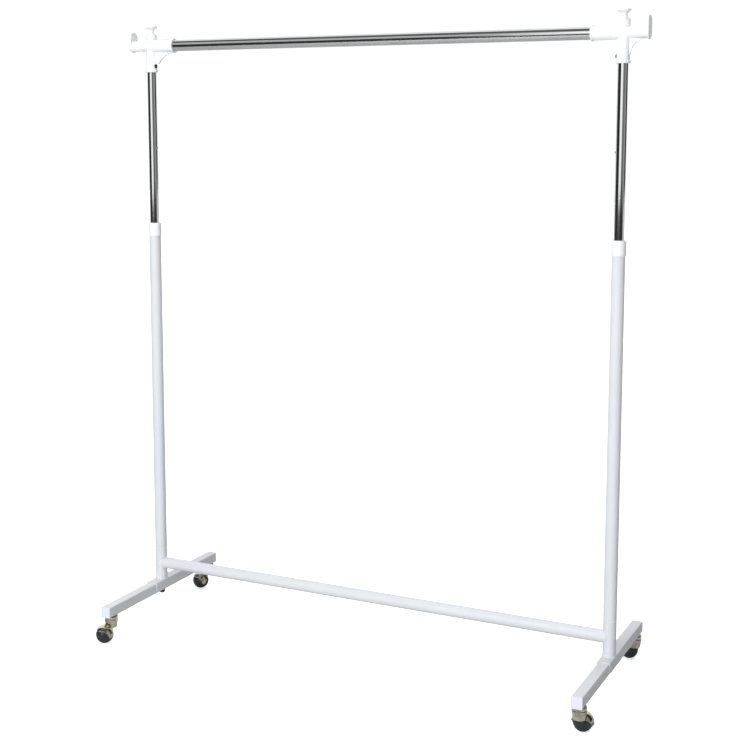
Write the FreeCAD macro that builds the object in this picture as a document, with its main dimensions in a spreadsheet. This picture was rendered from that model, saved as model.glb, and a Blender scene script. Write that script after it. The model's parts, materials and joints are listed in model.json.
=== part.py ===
"""Rolling clothes rack: two wheeled feet, telescoping posts, end brackets and a hanging bar.

Frame: millimetres, +Z up, +X from the left post to the right post, -Y to the front.
The origin lies on the floor, midway between the posts and midway along the feet.
"""
import FreeCAD, Part
import Sketcher
import math
import os
import re

SIZES = {
    # overall layout
    "post_spacing": 1290,
    "crossbar_z": 146,
    "seam_z": 189,
    "bar_z": 1573.5,
    # feet
    "foot_length": 524,
    "foot_size": 28,
    "foot_wall": 1.5,
    "foot_corner": 2.5,
    "foot_bottom": 70,
    "cap_flange": 2.5,
    "cap_plug": 52,
    "cap_side": 24.9,
    "cap_wall": 3,
    "cap_window": 11,
    # saddles that join the posts to the feet
    "saddle_length": 96,
    "saddle_plate": 2.4,
    "saddle_drop": 24,
    # white steel tubes
    "post_dia": 32,
    "post_bore": 29.6,
    "crossbar_dia": 31,
    "crossbar_bore": 28.6,
    "spigot_bore": 26.4,
    "spigot_reach": 45,
    "outer_post_top": 1094,
    # collars on top of the outer posts
    "collar_dia": 35.4,
    "collar_bottom": 1065,
    "collar_top": 1101,
    "collar_bevel": 2,
    "bush_bottom": 1041,
    "slide_gap": 0.08,
    "keyway_width": 7.8,
    # chrome tubes
    "inner_dia": 25,
    "inner_bore": 22.8,
    "inner_bottom": 886,
    "glide_height": 14,
    "bar_dia": 30,
    "bar_bore": 27.6,
    # end brackets, measured from the bar's axis and the post's axis
    "socket_dia": 30,
    "socket_drop": 69,
    "socket_rim_dia": 35,
    "socket_rim_height": 6,
    "socket_end": 18,
    "boss_top": 31.5,
    "boss_round": 3,
    "waist_dia": 15,
    "waist_bottom": 37.5,
    "waist_top": 41,
    "knob_dia": 32,
    "knob_edge": 49,
    "knob_top": 52.5,
    "inner_arm_dia": 34.6,
    "inner_arm_reach": 75,
    "arm_rim_dia": 37.6,
    "arm_rim_width": 5,
    "outer_arm_dia": 29,
    "outer_arm_reach": 58,
    "plate_thick": 6,
    "plate_dia": 33,
    "plate_top": 38,
    "plate_round": 1.6,
    "gusset_thick": 6,
    "inner_gusset_reach": 74,
    "inner_gusset_top": 18,
    "inner_gusset_radius": 58,
    "inner_gusset_bottom": 47.5,
    "outer_gusset_reach": 52,
    "outer_gusset_top": 14.4,
    "outer_gusset_radius": 35.4,
    "outer_gusset_bottom": 49,
    "gusset_root": 5,
    "screw_drop": 53,
    "screw_dia": 4.5,
    "screw_head_dia": 9,
    "screw_head": 2.6,
    "screw_tip": 9,
    "screw_turn": 12,
    # snap buttons
    "button_dia": 7,
    "button_hole": 7.2,
    "button_flange_dia": 9,
    "button_back": 9.1,
    "button_shoulder": 10.1,
    "button_tip": 14.5,
    "button_round": 2,
    "button_low_z": 1083,
    "button_pitch": 220,
    "spring_thick": 0.8,
    "spring_width": 6,
    "spring_top": 5,
    "spring_bottom": 26,
    # casters, in their own frame: swivel axis up, wheel trailing
    "caster_inset": 25,
    "caster_trail": 22.5,
    "wheel_dia": 46,
    "wheel_width": 42,
    "core_dia": 17,
    "axle_dia": 6,
    "axle_bore": 6.16,
    "axle_head_dia": 8.4,
    "axle_head": 1.6,
    "hood_dia": 51,
    "hood_cavity": 48.2,
    "hood_tip": 5.5,
    "hood_spread": 33,
    "hood_back_spread": 43,
    "hood_skirt": 14,
    "cup_dia": 36,
    "cup_neck": 32.8,
    "cup_top": 68.2,
    "cup_bottom": 38,
    "cup_foot_dia": 29,
    "pin_dia": 8,
    "pin_bore": 8.16,
    "pin_head_dia": 11,
    "pin_head_top": 49,
    "pin_recess_dia": 12.4,
    "stem_dia": 11,
    "stem_top": 94,
    "stem_flange_dia": 19,
    # bolts that hold the feet
    "bolt_dia": 10,
    "bolt_head_dia": 17,
    "bolt_head": 6,
    "bolt_end": 57,
    "washer_dia": 21,
    "washer_thick": 2,
    "nut_flats": 16,
    "nut_height": 8,
}

SIDES = {"left": -1, "right": 1}
ENDS = {"front": -1, "rear": 1}
# where each caster's wheel trails to, in degrees from +X, as the rack stands
TRAILS = {
    "left_front": 254,
    "left_rear": 234,
    "right_front": 85,
    "right_rear": 139,
}

doc = FreeCAD.newDocument("clothes_rack")
sizes = doc.addObject("Spreadsheet::Sheet", "sizes")
for row, (alias, number) in enumerate(SIZES.items(), start=1):
    sizes.set(f"A{row}", alias)
    sizes.set(f"B{row}", str(number))
    sizes.setAlias(f"B{row}", alias)
doc.recompute()

subparts = []


# ---------------------------------------------------------------- helpers

def bound(text):
    """The expression with every bare name pointed at its cell in the sheet."""
    return re.sub(r"[a-z][a-z_]+", lambda name: f"sizes.{name.group()}", str(text))


def value(text):
    """The expression's value in millimetres."""
    return float(sizes.evalExpression(bound(text)))


def bind(obj, **expressions):
    """Ties properties to the sheet; Placement.Base.x is written as at_x."""
    for name, text in expressions.items():
        path = name.replace("at_", "Placement.Base.") if name.startswith("at_") else name
        obj.setExpression(path, bound(text))
    return obj


def keep(obj, label):
    """Counts an object as one of the rack's sub-parts."""
    obj.Label = label
    subparts.append(obj)
    return obj


def turn(obj, axis, degrees):
    """Sets the object's rotation and leaves its position alone."""
    obj.Placement = FreeCAD.Placement(obj.Placement.Base, FreeCAD.Rotation(axis, degrees))
    return obj


def turned_to_x(obj):
    return turn(obj, FreeCAD.Vector(0, 1, 0), 90)


def turned_to_y(obj):
    return turn(obj, FreeCAD.Vector(1, 0, 0), -90)


def base_plane(body, role):
    return next(item for item in body.Origin.OriginFeatures if item.Role == role)


def outline_sketch(body, name, role, loops):
    """A sketch of closed straight-sided loops whose corners are tied to the sheet."""
    sketch = body.newObject("Sketcher::SketchObject", name)
    sketch.AttachmentSupport = (base_plane(body, role), [""])
    sketch.MapMode = "FlatFace"
    for corners in loops:
        first = sketch.GeometryCount
        points = [FreeCAD.Vector(value(across), value(up), 0) for across, up in corners]
        for start, end in zip(points, points[1:] + points[:1]):
            sketch.addGeometry(Part.LineSegment(start, end), False)
        for number, (corner, point) in enumerate(zip(corners, points)):
            line = first + number
            before = first + (number - 1) % len(corners)
            sketch.addConstraint(Sketcher.Constraint("Coincident", before, 2, line, 1))
            for kind, text, size, axis in (
                ("DistanceX", corner[0], point.x, -2),
                ("DistanceY", corner[1], point.y, -1),
            ):
                if abs(size) < 1e-9:
                    sketch.addConstraint(Sketcher.Constraint("PointOnObject", line, 1, axis))
                    continue
                added = sketch.addConstraint(Sketcher.Constraint(kind, -1, 1, line, 1, size))
                sketch.setExpression(f"Constraints[{added}]", bound(text))
    return sketch


def revolved(name, corners):
    """A body turned about Z from a closed outline of (radius, height) corners."""
    body = doc.addObject("PartDesign::Body", name)
    sketch = outline_sketch(body, name + "_outline", "XZ_Plane", [corners])
    turning = body.newObject("PartDesign::Revolution", name + "_turning")
    turning.Profile = sketch
    turning.ReferenceAxis = (sketch, ["V_Axis"])
    turning.Angle = 360
    body.Tip = turning
    doc.recompute()
    return body


def padded(name, role, loops, length):
    """A body padded both ways from one of its own origin planes."""
    body = doc.addObject("PartDesign::Body", name)
    pad = body.newObject("PartDesign::Pad", name + "_pad")
    pad.Profile = outline_sketch(body, name + "_outline", role, loops)
    pad.Midplane = True
    pad.setExpression("Length", bound(length))
    body.Tip = pad
    doc.recompute()
    return body


def round_edges(body, radius, wanted):
    """Rounds those edges of the body's last feature that the test accepts."""
    last = body.Tip
    names = [f"Edge{n}" for n, edge in enumerate(last.Shape.Edges, start=1) if wanted(edge)]
    fillet = body.newObject("PartDesign::Fillet", body.Name + "_rounding")
    fillet.Base = (last, names)
    fillet.setExpression("Radius", bound(radius))
    body.Tip = fillet
    doc.recompute()
    return body


def tube(name, outside, bore, bottom, top):
    """A round tube standing on Z."""
    wall = [
        (f"{bore} / 2", bottom),
        (f"{outside} / 2", bottom),
        (f"{outside} / 2", top),
        (f"{bore} / 2", top),
    ]
    return revolved(name, wall)


def cylinder(name, dia, height, at_z=0):
    obj = doc.addObject("Part::Cylinder", name)
    return bind(obj, Radius=f"({dia}) / 2", Height=height, at_z=at_z)


def joined(name, *shapes):
    fuse = doc.addObject("Part::MultiFuse", name)
    fuse.Shapes = list(shapes)
    fuse.Refine = True
    return fuse


def carried(name, obj):
    """Wraps a turned object, so that the wrapper can be placed on its own."""
    wrapper = doc.addObject("Part::Compound", name)
    wrapper.Links = [obj]
    return wrapper


def cut(name, base, *tools):
    """The base with every tool taken away, checked to be smaller than before."""
    result = doc.addObject("Part::Cut", name)
    result.Base = base
    result.Tool = tools[0] if len(tools) == 1 else joined(name + "_tools", *tools)
    result.Refine = True
    doc.recompute()
    if result.Shape.Volume >= base.Shape.Volume - 1e-6:
        raise RuntimeError(f"{name}: the cut took nothing away")
    return result


def group(label, *shapes):
    """Several like pieces in one sub-part, each its own solid."""
    compound = doc.addObject("Part::Compound", label)
    compound.Links = list(shapes)
    return keep(compound, label)


def place(obj, x="0", y="0", z="0", degrees=0):
    """Puts an object at a point of the rack, turned about the vertical."""
    obj.Placement = FreeCAD.Placement(
        FreeCAD.Vector(value(x), value(y), value(z)),
        FreeCAD.Rotation(FreeCAD.Vector(0, 0, 1), degrees),
    )
    return bind(obj, at_x=x, at_y=y, at_z=z)


def at_post(obj, side, z="0"):
    """Puts an object on a post's axis with its own +X towards the other post."""
    away = SIDES[side]
    return place(obj, x=f"{away} * post_spacing / 2", z=z, degrees=180 if away > 0 else 0)


# ------------------------------------------------------------------- feet

def foot_tube(side):
    """Square steel tube with a hole for each caster stem and one for the bolt."""
    half = "foot_size / 2"
    inner = "(foot_size / 2 - foot_wall)"
    outer_loop = [(f"-{half}", f"-{half}"), (half, f"-{half}"), (half, half), (f"-{half}", half)]
    inner_loop = [
        (f"-{inner}", f"-{inner}"), (inner, f"-{inner}"), (inner, inner), (f"-{inner}", inner),
    ]
    name = side + "_foot_tube"
    length = "foot_length - 2 * cap_flange"
    body = padded(name + "_profile", "XZ_Plane", [outer_loop, inner_loop], length)
    reach = value(half) - 0.01
    round_edges(body, "foot_corner", lambda edge: _runs_along_corner(edge, reach))
    holes = [cylinder(name + "_bolt_hole", "bolt_dia", "2 * foot_size", "-foot_size")]
    for end, way in ENDS.items():
        hole = cylinder(f"{name}_{end}_hole", "stem_dia", "3 * foot_wall",
                        "-foot_size / 2 - foot_wall")
        holes.append(bind(hole, at_y=f"{way} * (foot_length / 2 - caster_inset)"))
    drilled = cut(name + "_drilled", body, *holes)
    return keep(place(drilled, x=f"{SIDES[side]} * post_spacing / 2",
                      z="foot_bottom + foot_size / 2"), name)


def _runs_along_corner(edge, reach):
    ends = [vertex.Point for vertex in edge.Vertexes]
    along = len(ends) == 2 and abs(ends[0].y - ends[1].y) > 1
    return along and all(abs(p.x) > reach and abs(p.z) > reach for p in ends)


def foot_cap(side, end):
    """Moulded end cap whose plug fills the tube and grips the caster's stem."""
    name = f"{side}_{end}_foot_cap"
    half = "foot_size / 2"
    flange_loop = [(f"-{half}", f"-{half}"), (half, f"-{half}"), (half, half), (f"-{half}", half)]
    flange = padded(name + "_flange", "XZ_Plane", [flange_loop], "cap_flange")
    reach = value(half) - 0.01
    round_edges(flange, "foot_corner", lambda edge: _runs_along_corner(edge, reach))
    plug = doc.addObject("Part::Box", name + "_plug")
    bind(plug, Length="cap_side", Width="cap_plug", Height="cap_side",
         at_x="-cap_side / 2", at_y="cap_flange / 2", at_z="-cap_side / 2")
    bore = cylinder(name + "_bore", "stem_dia", "2 * foot_size", "-foot_size")
    bind(bore, at_y="caster_inset - cap_flange / 2")
    window = doc.addObject("Part::Box", name + "_window")
    bind(window, Length="cap_side - 2 * cap_wall", Width="cap_window", Height="2 * cap_side",
         at_x="-cap_side / 2 + cap_wall", at_y="cap_flange / 2 + cap_wall", at_z="-cap_side")
    hollow = cut(name + "_hollow", joined(name + "_blank", flange, plug), bore, window)
    way = ENDS[end]
    return keep(place(hollow, x=f"{SIDES[side]} * post_spacing / 2",
                      y=f"{way} * (foot_length / 2 - cap_flange / 2)",
                      z="foot_bottom + foot_size / 2", degrees=180 if way > 0 else 0), name)


def saddle(side):
    """Folded steel channel over the foot, under the post."""
    name = side + "_saddle"
    inside = "foot_size / 2"
    outside = "(foot_size / 2 + saddle_plate)"
    channel = [
        (f"-{outside}", "-saddle_drop"), (f"-{inside}", "-saddle_drop"), (f"-{inside}", "0"),
        (inside, "0"), (inside, "-saddle_drop"), (outside, "-saddle_drop"),
        (outside, "saddle_plate"), (f"-{outside}", "saddle_plate"),
    ]
    body = padded(name + "_channel", "XZ_Plane", [channel], "saddle_length")
    top = value("saddle_plate") - 0.01
    round_edges(body, "foot_corner", lambda edge: _runs_along_top(edge, top))
    hole = cylinder(name + "_hole", "bolt_dia", "20", "-10")
    drilled = cut(name + "_drilled", body, hole)
    return keep(place(drilled, x=f"{SIDES[side]} * post_spacing / 2",
                      z="foot_bottom + foot_size"), name)


def _runs_along_top(edge, top):
    ends = [vertex.Point for vertex in edge.Vertexes]
    along = len(ends) == 2 and abs(ends[0].y - ends[1].y) > 1
    return along and all(p.z > top for p in ends)


def foot_fixings():
    """A bolt down through each saddle and foot, with a washer and a nut beneath."""
    plate_top = "foot_bottom + foot_size + saddle_plate"
    bolts, washers, nuts = [], [], []
    for side in SIDES:
        shank = cylinder(side + "_bolt_shank", "bolt_dia", f"{plate_top} - bolt_end", "bolt_end")
        head = cylinder(side + "_bolt_head", "bolt_head_dia", "bolt_head", plate_top)
        bolts.append(at_post(joined(side + "_bolt", shank, head), side))
        ring = tube(side + "_washer", "washer_dia", "bolt_dia",
                    "foot_bottom - washer_thick", "foot_bottom")
        washers.append(at_post(ring, side))
        hexagon = doc.addObject("Part::Prism", side + "_nut_hexagon")
        hexagon.Polygon = 6
        nut_bottom = "foot_bottom - washer_thick - nut_height"
        bind(hexagon, Circumradius=f"nut_flats / {math.sqrt(3):.6f}", Height="nut_height",
             at_z=nut_bottom)
        thread = cylinder(side + "_nut_thread", "bolt_dia", "2 * nut_height", nut_bottom)
        nuts.append(at_post(cut(side + "_nut", hexagon, thread), side))
    group("foot_bolts", *bolts)
    group("foot_washers", *washers)
    group("foot_nuts", *nuts)


# ------------------------------------------------------- lower frame tubes

def lower_post(side):
    """Short tube welded on the saddle."""
    name = side + "_lower_post"
    body = tube(name, "post_dia", "post_bore", "foot_bottom + foot_size + saddle_plate", "seam_z")
    return keep(at_post(body, side), name)


def post_spigot(side):
    """Sleeve inside the seam between the lower post and the outer post."""
    name = side + "_post_spigot"
    body = tube(name, "post_bore", "spigot_bore", "seam_z - spigot_reach", "seam_z + spigot_reach")
    return keep(at_post(body, side), name)


def outer_post(side):
    name = side + "_outer_post"
    return keep(at_post(tube(name, "post_dia", "post_bore", "seam_z", "outer_post_top"), side), name)


def crossbar():
    """Tube between the lower posts, its ends coped to their round walls."""
    body = tube("crossbar_tube", "crossbar_dia", "crossbar_bore",
                "-post_spacing / 2", "post_spacing / 2")
    turned_to_x(body)
    posts = []
    for side, away in SIDES.items():
        post = cylinder(side + "_coping", "post_dia", "4 * post_dia", "-2 * post_dia")
        posts.append(bind(post, at_x=f"{away} * post_spacing / 2"))
    return keep(place(cut("crossbar_coped", body, *posts), z="crossbar_z"), "lower_crossbar")


def collar(side):
    """Plastic ferrule on the outer post, with a split bush that guides the chrome tube."""
    name = side + "_collar"
    guide = "inner_dia / 2 + slide_gap"
    profile = [
        (guide, "bush_bottom"),
        ("post_bore / 2", "bush_bottom"),
        ("post_bore / 2", "outer_post_top"),
        ("post_dia / 2", "outer_post_top"),
        ("post_dia / 2", "collar_bottom"),
        ("collar_dia / 2 - 0.6", "collar_bottom"),
        ("collar_dia / 2", "collar_bottom + 1"),
        ("collar_dia / 2", "collar_top - collar_bevel"),
        ("collar_dia / 2 - collar_bevel", "collar_top"),
        (guide, "collar_top"),
    ]
    keyway = doc.addObject("Part::Box", name + "_keyway")
    bind(keyway, Length="post_bore / 2", Width="keyway_width", Height="100",
         at_y="-keyway_width / 2", at_z="bush_bottom - 10")
    return keep(at_post(cut(name + "_keyed", revolved(name + "_ring", profile), keyway), side), name)


# -------------------------------------------------------- telescoping part

def button_heights():
    return {"lower": "button_low_z", "upper": "button_low_z + button_pitch"}


def inner_post(side):
    """Chrome tube with two holes for the snap buttons and one for the screw."""
    name = side + "_inner_post"
    body = tube(name + "_tube", "inner_dia", "inner_bore", "inner_bottom", "bar_z - socket_end")
    holes = []
    for level, height in button_heights().items():
        hole = cylinder(f"{name}_{level}_hole", "button_hole", "inner_dia", height)
        holes.append(turned_to_x(hole))
    screw_hole = cylinder(name + "_screw_hole", "screw_dia", "inner_dia", "bar_z - screw_drop")
    holes.append(swung(turned_to_x(screw_hole)))
    return keep(at_post(cut(name + "_drilled", body, *holes), side), name)


def post_glide(side):
    """Plastic plug in the chrome tube's lower end that slides in the outer post."""
    name = side + "_post_glide"
    profile = [
        ("0", "inner_bottom - glide_height"),
        ("post_bore / 2 - slide_gap", "inner_bottom - glide_height"),
        ("post_bore / 2 - slide_gap", "inner_bottom"),
        ("inner_bore / 2", "inner_bottom"),
        ("inner_bore / 2", "inner_bottom + glide_height"),
        ("0", "inner_bottom + glide_height"),
    ]
    return keep(at_post(revolved(name, profile), side), name)


def snap_button(side, level, height):
    """Domed button that a spring pushes out through the chrome tube's wall."""
    name = f"{side}_{level}_button"
    profile = [
        ("0", "button_back"),
        ("button_flange_dia / 2", "button_back"),
        ("button_flange_dia / 2", "button_shoulder"),
        ("button_dia / 2", "button_shoulder"),
        ("button_dia / 2", "button_tip"),
        ("0", "button_tip"),
    ]
    body = revolved(name + "_pin", profile)
    tip = value("button_tip") - 0.01
    round_edges(body, "button_round", lambda edge: edge.BoundBox.ZMin > tip and edge.Length > 5)
    lying = carried(name + "_lying", turned_to_x(body))
    return keep(at_post(lying, side, height), name)


def snap_spring(side, level, height):
    """Folded spring strip behind a button, braced on the far wall of the tube."""
    name = f"{side}_{level}_snap_spring"
    strip = [
        ("-inner_bore / 2 + 0.9", "spring_top"),
        ("-spring_thick", "-spring_bottom"),
        ("spring_thick", "-spring_bottom"),
        ("button_back", "spring_top"),
        ("button_back - spring_thick", "spring_top"),
        ("0", "-spring_bottom + 2"),
        ("-inner_bore / 2 + 0.9 + spring_thick", "spring_top"),
    ]
    body = padded(name, "XZ_Plane", [strip], "spring_width")
    return keep(at_post(body, side, height), name)


def top_bar():
    """Chrome hanging bar between the bracket sockets."""
    end = "(post_spacing / 2 - socket_end)"
    body = tube("top_bar_tube", "bar_dia", "bar_bore", f"-{end}", end)
    turned_to_x(body)
    return keep(place(carried("top_bar_lying", body), z="bar_z"), "top_bar")


# ---------------------------------------------------------------- brackets

def bracket(side):
    """Moulded cross: sockets for post and bar, a short arm with a stop, and a knob."""
    name = side + "_bracket"
    upright = bracket_upright(name)
    inner_arm = bracket_inner_arm(name)
    outer_arm = turned_to_x(cylinder(name + "_outer_arm", "outer_arm_dia", "outer_arm_reach"))
    bind(outer_arm, at_x="-outer_arm_reach")
    inner_web = gusset(name + "_inner_web", 1, "inner")
    outer_web = gusset(name + "_outer_web", -1, "outer")
    blank = joined(name + "_blank", upright, inner_arm, outer_arm, stop_plate(name),
                   inner_web, outer_web)
    post_socket = cylinder(name + "_post_socket", "inner_dia", "socket_drop - socket_end",
                           "-socket_drop")
    bar_socket = turned_to_x(cylinder(name + "_bar_socket", "bar_dia", "inner_arm_reach"))
    bind(bar_socket, at_x="socket_end")
    screw_hole = cylinder(name + "_screw_hole", "screw_dia", "socket_dia", "-screw_drop")
    bored = cut(name + "_bored", blank, post_socket, bar_socket, swung(turned_to_x(screw_hole)))
    return keep(at_post(bored, side, "bar_z"), name)


def bracket_upright(name):
    """Post socket with its rim, the boss above the bar, the neck and the flared knob."""
    profile = [
        ("0", "-socket_drop"),
        ("socket_rim_dia / 2 - 1", "-socket_drop"),
        ("socket_rim_dia / 2", "-socket_drop + 1"),
        ("socket_rim_dia / 2", "-socket_drop + socket_rim_height - 1"),
        ("socket_dia / 2", "-socket_drop + socket_rim_height + 1"),
        ("socket_dia / 2", "boss_top - boss_round"),
        ("socket_dia / 2 - 1", "boss_top - 1"),
        ("socket_dia / 2 - boss_round", "boss_top"),
        ("waist_dia / 2 + 2.2", "boss_top + 2.5"),
        ("waist_dia / 2", "waist_bottom"),
        ("waist_dia / 2", "waist_top"),
        ("waist_dia / 2 + 2", "waist_top + 3.5"),
        ("knob_dia / 2 - 2", "knob_edge - 1.4"),
        ("knob_dia / 2", "knob_edge"),
        ("knob_dia / 2", "knob_top - 1"),
        ("knob_dia / 2 - 1", "knob_top"),
        ("0", "knob_top"),
    ]
    return revolved(name + "_upright", profile)


def bracket_inner_arm(name):
    """Round arm that tapers out to a thicker rim around the bar."""
    profile = [
        ("0", "0"),
        ("inner_arm_dia / 2", "0"),
        ("inner_arm_dia / 2", "inner_arm_reach - arm_rim_width - 1.5"),
        ("arm_rim_dia / 2", "inner_arm_reach - arm_rim_width"),
        ("arm_rim_dia / 2", "inner_arm_reach - 1"),
        ("arm_rim_dia / 2 - 1", "inner_arm_reach"),
        ("0", "inner_arm_reach"),
    ]
    return turned_to_x(revolved(name + "_inner_arm", profile))


def stop_plate(name):
    """Upright plate with round ends that keeps hangers on the short arm."""
    lower = cylinder(name + "_plate_foot", "plate_dia", "plate_thick")
    upper = cylinder(name + "_plate_head", "plate_dia", "plate_thick", "plate_top - plate_dia / 2")
    web = doc.addObject("Part::Box", name + "_plate_web")
    start = "-outer_arm_reach - plate_thick / 2"
    bind(web, Length="plate_thick", Width="plate_dia", Height="plate_top - plate_dia / 2",
         at_x=start, at_y="-plate_dia / 2")
    for disc in (lower, upper):
        bind(turned_to_x(disc), at_x=start)
    plate = joined(name + "_plate", lower, upper, web)
    doc.recompute()
    rounded = doc.addObject("Part::Fillet", name + "_plate_rounded")
    rounded.Base = plate
    faces = [value(start), value(start) + value("plate_thick")]
    radius = value("plate_round")
    rounded.Edges = [
        (number, radius, radius)
        for number, edge in enumerate(plate.Shape.Edges, start=1)
        if edge.BoundBox.XLength < 0.01 and min(abs(edge.BoundBox.XMin - f) for f in faces) < 0.01
    ]
    return rounded


def gusset(name, way, which):
    """Thin web under an arm with a hollow round edge."""
    reach = f"{which}_gusset_reach"
    top = f"{which}_gusset_top"
    radius = f"{which}_gusset_radius"
    bottom = f"{which}_gusset_bottom"
    blank = doc.addObject("Part::Box", name + "_blank")
    bind(blank, Length=reach, Width="gusset_thick", Height=f"{bottom} - gusset_root",
         at_x="0" if way > 0 else f"-{reach}", at_y="-gusset_thick / 2", at_z=f"-{bottom}")
    scoop = turned_to_y(cylinder(name + "_scoop", f"2 * {radius}", "4 * gusset_thick"))
    bind(scoop, at_x=f"{way} * {reach}", at_y="-2 * gusset_thick", at_z=f"-{top} - {radius}")
    return cut(name, blank, scoop)


def bracket_screws():
    """Pan-head screw through each post socket into the chrome tube."""
    screws = []
    for side in SIDES:
        start = "socket_dia / 2"
        head = turned_to_x(cylinder(side + "_screw_head", "screw_head_dia", "screw_head"))
        bind(head, at_x=start)
        shank = turned_to_x(cylinder(side + "_screw_shank", "screw_dia", f"{start} - screw_tip"))
        bind(shank, at_x="screw_tip")
        screw = carried(side + "_screw_set", swung(joined(side + "_screw", head, shank)))
        screws.append(at_post(screw, side, "bar_z - screw_drop"))
    group("bracket_screws", *screws)


def swung(obj):
    """Turns a bracket screw, or a hole for one, a little to one side of the bar."""
    wrapper = carried(obj.Name + "_swung", obj)
    return turn(wrapper, FreeCAD.Vector(0, 0, 1), -value("screw_turn"))


# ----------------------------------------------------------------- casters

def at_caster(obj, corner):
    """Puts a caster piece under its end of a foot, its wheel trailing its own way."""
    side, end = corner.split("_")
    return place(obj, x=f"{SIDES[side]} * post_spacing / 2",
                 y=f"{ENDS[end]} * (foot_length / 2 - caster_inset)", degrees=TRAILS[corner])


def caster_stem(corner):
    """Steel stem: gripped in the foot above, a swivel pin with a peened head below."""
    name = corner + "_caster_stem"
    profile = [
        ("0", "pin_head_top - 3"),
        ("pin_head_dia / 2", "pin_head_top - 3"),
        ("pin_head_dia / 2", "pin_head_top"),
        ("pin_dia / 2", "pin_head_top"),
        ("pin_dia / 2", "cup_top + 0.3"),
        ("stem_flange_dia / 2", "cup_top + 0.3"),
        ("stem_flange_dia / 2", "foot_bottom"),
        ("stem_dia / 2", "foot_bottom"),
        ("stem_dia / 2", "stem_top - 1.5"),
        ("stem_dia / 2 - 1.5", "stem_top"),
        ("0", "stem_top"),
    ]
    return keep(at_caster(revolved(name, profile), corner), name)


def caster_hood(corner):
    """Swivel cup and domed hood, drawn down to a narrow leg at each end of the axle."""
    name = corner + "_caster_hood"
    cup_profile = [
        ("0", "cup_bottom"),
        ("cup_foot_dia / 2", "cup_bottom"),
        ("cup_dia / 2 - 1", "cup_top - 15"),
        ("cup_dia / 2", "cup_top - 13"),
        ("cup_dia / 2", "cup_top - 9"),
        ("cup_neck / 2", "cup_top - 7.5"),
        ("cup_neck / 2", "cup_top - 6"),
        ("cup_dia / 2", "cup_top - 4.5"),
        ("cup_dia / 2", "cup_top - 1"),
        ("cup_dia / 2 - 1", "cup_top"),
        ("0", "cup_top"),
    ]
    cup = revolved(name + "_cup", cup_profile)
    dome = doc.addObject("Part::Sphere", name + "_dome")
    bind(dome, Radius="hood_dia / 2", at_x="caster_trail", at_z="wheel_dia / 2")
    hood = doc.addObject("Part::Common", name + "_shell")
    hood.Base = dome
    hood.Tool = joined(name + "_window", hood_wedge(name), hood_eye(name), hood_crown(name))
    cavity = doc.addObject("Part::Sphere", name + "_cavity")
    bind(cavity, Radius="hood_cavity / 2", at_x="caster_trail", at_z="wheel_dia / 2")
    axle_hole = along_axle(cylinder(name + "_axle_hole", "axle_dia", "2 * hood_dia"), "hood_dia")
    pin_bore = cylinder(name + "_pin_bore", "pin_bore", "cup_top", "cup_bottom")
    recess = cylinder(name + "_recess", "pin_recess_dia", "pin_head_top + 0.4 - cup_bottom + 5",
                      "cup_bottom - 5")
    blank = joined(name + "_blank", cup, hood)
    return keep(at_caster(cut(name + "_bored", blank, cavity, axle_hole, pin_bore, recess),
                          corner), name)


def hood_wedge(name):
    """The wedge of space, opening upwards, that the hood's legs fill."""
    height = "hood_dia"
    ahead = f"{height} * {math.tan(math.radians(SIZES['hood_spread'])):.6f}"
    behind = f"-{height} * {math.tan(math.radians(SIZES['hood_back_spread'])):.6f}"
    wedge = padded(name + "_wedge", "XZ_Plane", [[("0", "0"), (ahead, height),
                   (behind, height)]], "2 * hood_dia")
    return bind(wedge, at_x="caster_trail", at_z="wheel_dia / 2 - hood_tip")


def hood_eye(name):
    """Round material about the axle at each leg's tip."""
    return along_axle(cylinder(name + "_eye", "2 * hood_tip", "2 * hood_dia"), "hood_dia")


def hood_crown(name):
    """The space above the hood's skirt, where the dome is whole."""
    crown = doc.addObject("Part::Box", name + "_crown")
    return bind(crown, Length="2 * hood_dia", Width="2 * hood_dia", Height="hood_dia",
                at_x="caster_trail - hood_dia", at_y="-hood_dia",
                at_z="wheel_dia / 2 + hood_skirt")


def along_axle(obj, half_length):
    """Lays a cylinder along the axle's line, centred on the wheel."""
    return bind(turned_to_y(obj), at_x="caster_trail", at_y=f"-({half_length})",
                at_z="wheel_dia / 2")


def axle(corner):
    """Axle with a low round head outside each leg of the hood."""
    name = corner + "_axle"
    seat = "(hood_dia / 2)"
    profile = [
        ("0", f"-{seat} - axle_head"),
        ("axle_head_dia / 2 - 1", f"-{seat} - axle_head"),
        ("axle_head_dia / 2", f"-{seat}"),
        ("axle_dia / 2", f"-{seat}"),
        ("axle_dia / 2", seat),
        ("axle_head_dia / 2", seat),
        ("axle_head_dia / 2 - 1", f"{seat} + axle_head"),
        ("0", f"{seat} + axle_head"),
    ]
    lying = carried(name + "_lying", along_axle(revolved(name + "_pin", profile), "0"))
    return keep(at_caster(lying, corner), name)


def wheel_core(corner):
    """Plastic hub that runs on the axle."""
    name = corner + "_wheel_core"
    end = "(wheel_width / 2 + 1)"
    hub = tube(name + "_hub", "core_dia", "axle_bore", f"-{end}", end)
    return keep(at_caster(carried(name + "_lying", along_axle(hub, "0")), corner), name)


def tyre(corner):
    """Black rubber ball with flat sides, moulded on the hub."""
    name = corner + "_tyre"
    ball = doc.addObject("Part::Common", name + "_ball")
    ball.Base = doc.addObject("Part::Sphere", name + "_sphere")
    bind(ball.Base, Radius="wheel_dia / 2")
    ball.Tool = tube(name + "_slab", "2 * wheel_dia", "core_dia", "-wheel_width / 2",
                     "wheel_width / 2")
    return keep(at_caster(carried(name + "_lying", along_axle(ball, "0")), corner), name)


# ------------------------------------------------------------------- build

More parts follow.
